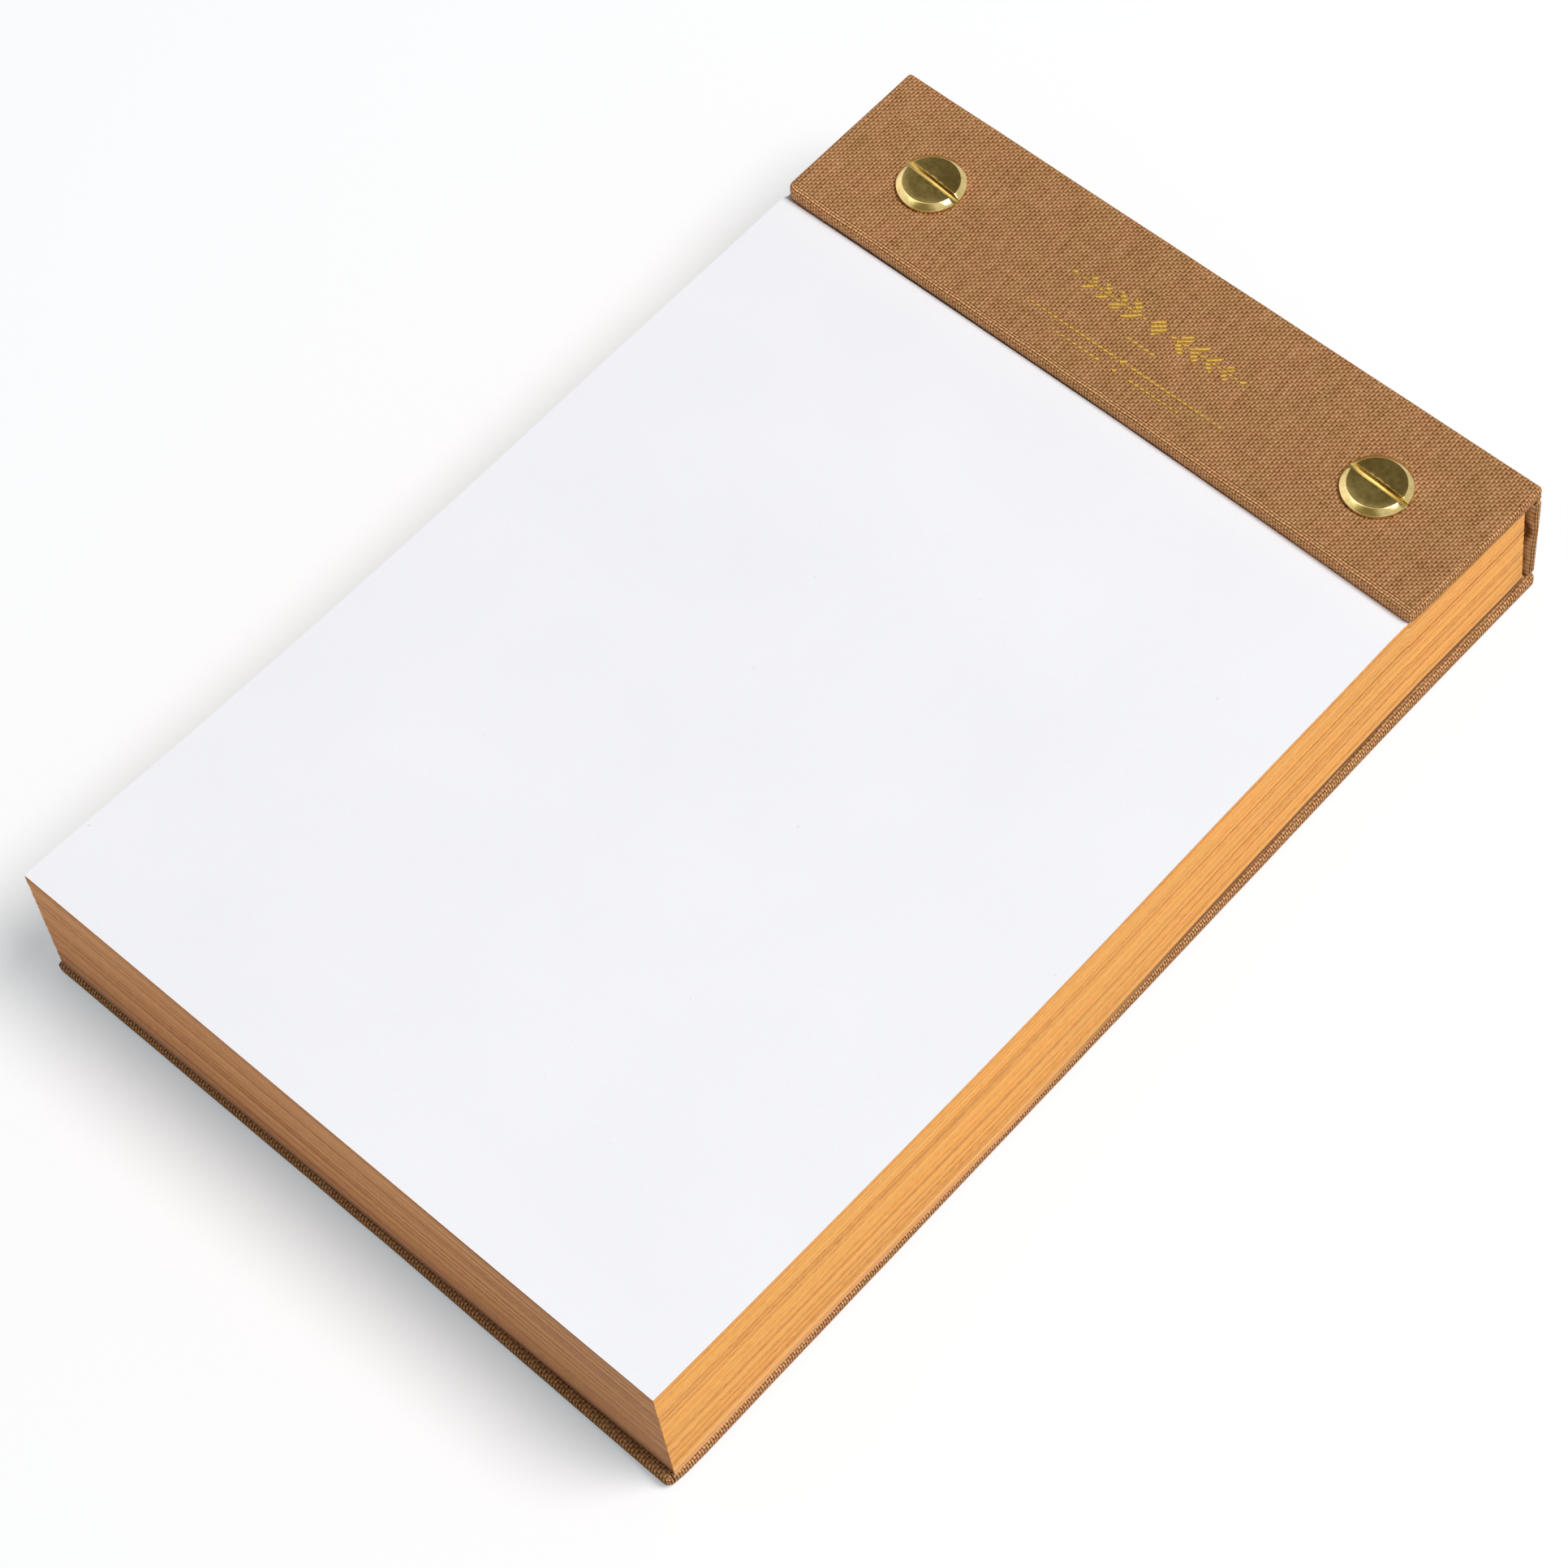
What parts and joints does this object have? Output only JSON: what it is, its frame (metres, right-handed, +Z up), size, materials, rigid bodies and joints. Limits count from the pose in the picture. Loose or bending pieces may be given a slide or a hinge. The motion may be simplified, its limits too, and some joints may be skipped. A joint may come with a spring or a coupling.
{
  "type": "notepad",
  "caption": "Pocket notepad: a thick block of edge-coloured sheets in a cloth-covered case whose narrow flap is held down by slotted binding screws.",
  "frame": {"origin": "on the table under the middle of the case", "axes": "+X across the pad, +Y from the free end of the sheets towards the spine, +Z up"},
  "size_m": [0.111, 0.1714, 0.0247],
  "materials": {
    "book_cloth": "woven",
    "greyboard": "matte",
    "lining_paper": "matte",
    "page_paper": "matte",
    "screw_brass": "polished",
    "post_brass": "satin"
  },
  "bodies": {
    "root": {"base_board": "greyboard", "spine_board": "greyboard", "flap_board": "greyboard", "cover_cloth": "book_cloth", "lining": "lining_paper", "page_block": "page_paper", "binding_screws": "screw_brass", "binding_posts": "post_brass"}
  },
  "joints": []
}
